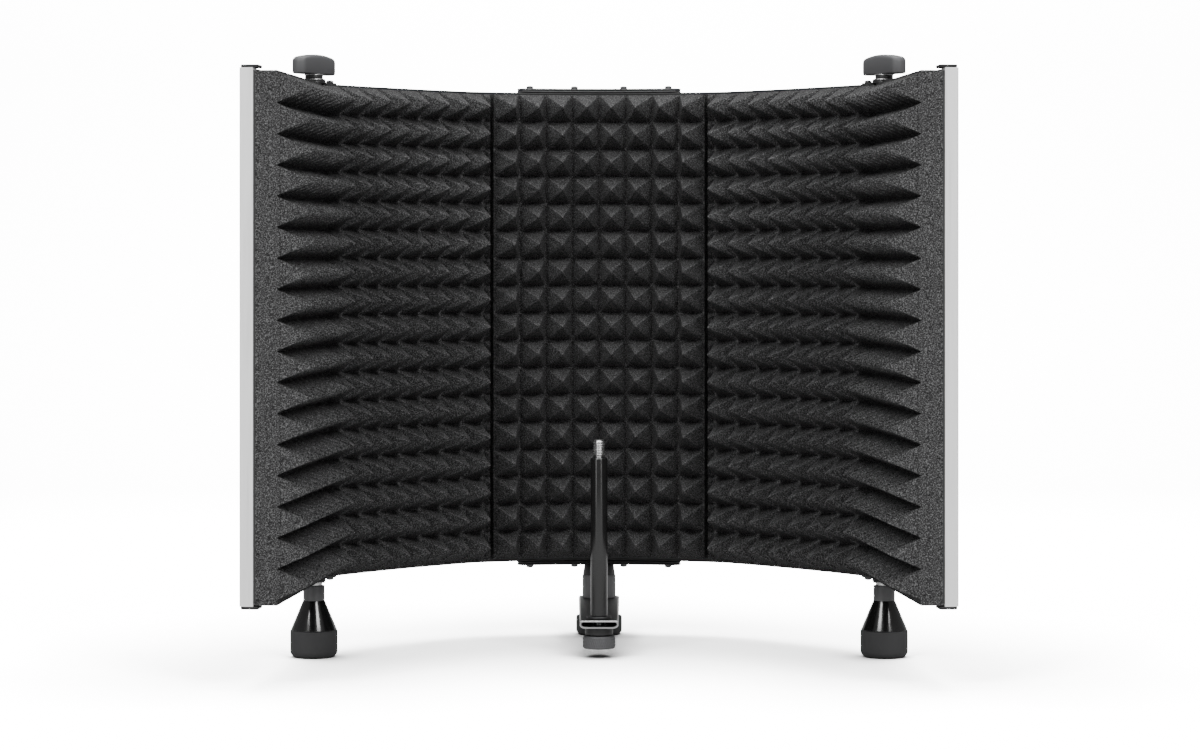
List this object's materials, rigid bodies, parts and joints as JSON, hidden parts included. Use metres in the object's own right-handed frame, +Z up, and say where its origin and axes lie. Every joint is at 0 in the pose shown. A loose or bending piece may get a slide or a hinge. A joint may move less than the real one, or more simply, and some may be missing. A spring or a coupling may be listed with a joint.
{
  "type": "microphone isolation shield",
  "caption": "Curved microphone isolation shield with pyramid foam, folding wings on knobbed hinges, screw feet, a centre column and a slotted arm with a sliding microphone post.",
  "frame": {"origin": "on the desk plane, on the axis of the centre column, which is the axis of the stand thread", "axes": "+X across the shield towards its right wing, +Y to the rear away from the foam, +Z up"},
  "size_m": [0.5042, 0.3676, 0.4587],
  "materials": {
    "foam": "matt open-cell foam, charcoal",
    "sheet": "satin black, perforated",
    "channel": "satin anodised",
    "caps": "matt black",
    "rails": "satin black",
    "screws": "bright plated",
    "brackets": "satin black",
    "knobs": "matt dark grey",
    "steel": "plated",
    "boots": "matt black",
    "feet": "gloss black",
    "sleeve": "satin grey",
    "fittings": "satin black",
    "arm": "satin black with bright cut ends",
    "post": "gloss black"
  },
  "bodies": {
    "shield": {"main_sheet": "sheet", "main_top_rail": "rails", "main_bottom_rail": "rails", "centre_foam_base": "foam", "centre_foam_pyramids": "foam", "left_mid_foam_base": "foam", "left_mid_foam_pyramids": "foam", "right_mid_foam_base": "foam", "right_mid_foam_pyramids": "foam", "top_bracket": "brackets", "top_bracket_screws": "screws", "bottom_bracket": "brackets", "bottom_bracket_screws": "screws", "left_main_leaves": "brackets", "right_main_leaves": "brackets", "left_main_leaf_screws": "screws", "right_main_leaf_screws": "screws", "column_boot": "boots", "column_hub": "fittings", "column_sleeve": "sleeve", "column_cap": "fittings", "column_stud": "steel", "arm": "arm"},
    "left_wing": {"left_wing_sheet": "sheet", "left_wing_rails": "rails", "left_end_channel": "channel", "left_end_caps": "caps", "left_wing_foam_base": "foam", "left_wing_foam_pyramids": "foam", "left_wing_leaves": "brackets", "left_wing_leaf_screws": "screws"},
    "left_top_knob": {"left_knob": "knobs", "left_knob_collar": "fittings", "left_knob_washers": "steel"},
    "left_screw_foot": {"left_foot": "feet", "left_foot_boot": "boots", "left_foot_washers": "steel"},
    "right_wing": {"right_wing_sheet": "sheet", "right_wing_rails": "rails", "right_end_channel": "channel", "right_end_caps": "caps", "right_wing_foam_base": "foam", "right_wing_foam_pyramids": "foam", "right_wing_leaves": "brackets", "right_wing_leaf_screws": "screws"},
    "right_top_knob": {"right_knob": "knobs", "right_knob_collar": "fittings", "right_knob_washers": "steel"},
    "right_screw_foot": {"right_foot": "feet", "right_foot_boot": "boots", "right_foot_washers": "steel"},
    "post_carriage": {"post": "post", "post_flange": "fittings", "microphone_stud": "steel", "clamp_collar": "fittings"},
    "clamp_nut": {"thumb_nut": "knobs"}
  },
  "joints": [
    {"name": "left_wing_fold", "type": "hinge", "parent": "shield", "child": "left_wing", "pos_m": [-0.2172, -0.1492, 0.25], "axis": [0, 0, 1], "range_deg": [-40, 0]},
    {"name": "left_knob_turn", "type": "hinge", "parent": "shield", "child": "left_top_knob", "pos_m": [-0.2172, -0.1492, 0.45], "axis": [0, 0, 1], "continuous": true},
    {"name": "left_foot_turn", "type": "hinge", "parent": "shield", "child": "left_screw_foot", "pos_m": [-0.2172, -0.1492, 0.03], "axis": [0, 0, 1], "continuous": true},
    {"name": "right_wing_fold", "type": "hinge", "parent": "shield", "child": "right_wing", "pos_m": [0.2172, -0.1492, 0.25], "axis": [0, 0, 1], "range_deg": [0, 40]},
    {"name": "right_knob_turn", "type": "hinge", "parent": "shield", "child": "right_top_knob", "pos_m": [0.2172, -0.1492, 0.45], "axis": [0, 0, 1], "continuous": true},
    {"name": "right_foot_turn", "type": "hinge", "parent": "shield", "child": "right_screw_foot", "pos_m": [0.2172, -0.1492, 0.03], "axis": [0, 0, 1], "continuous": true},
    {"name": "post_slide", "type": "slide", "parent": "shield", "child": "post_carriage", "axis": [0, 1, 0], "range_m": [-0.006, 0.1]},
    {"name": "thumb_nut_turn", "type": "hinge", "parent": "post_carriage", "child": "clamp_nut", "pos_m": [0, -0.153, 0.012], "axis": [0, 0, 1], "continuous": true}
  ]
}
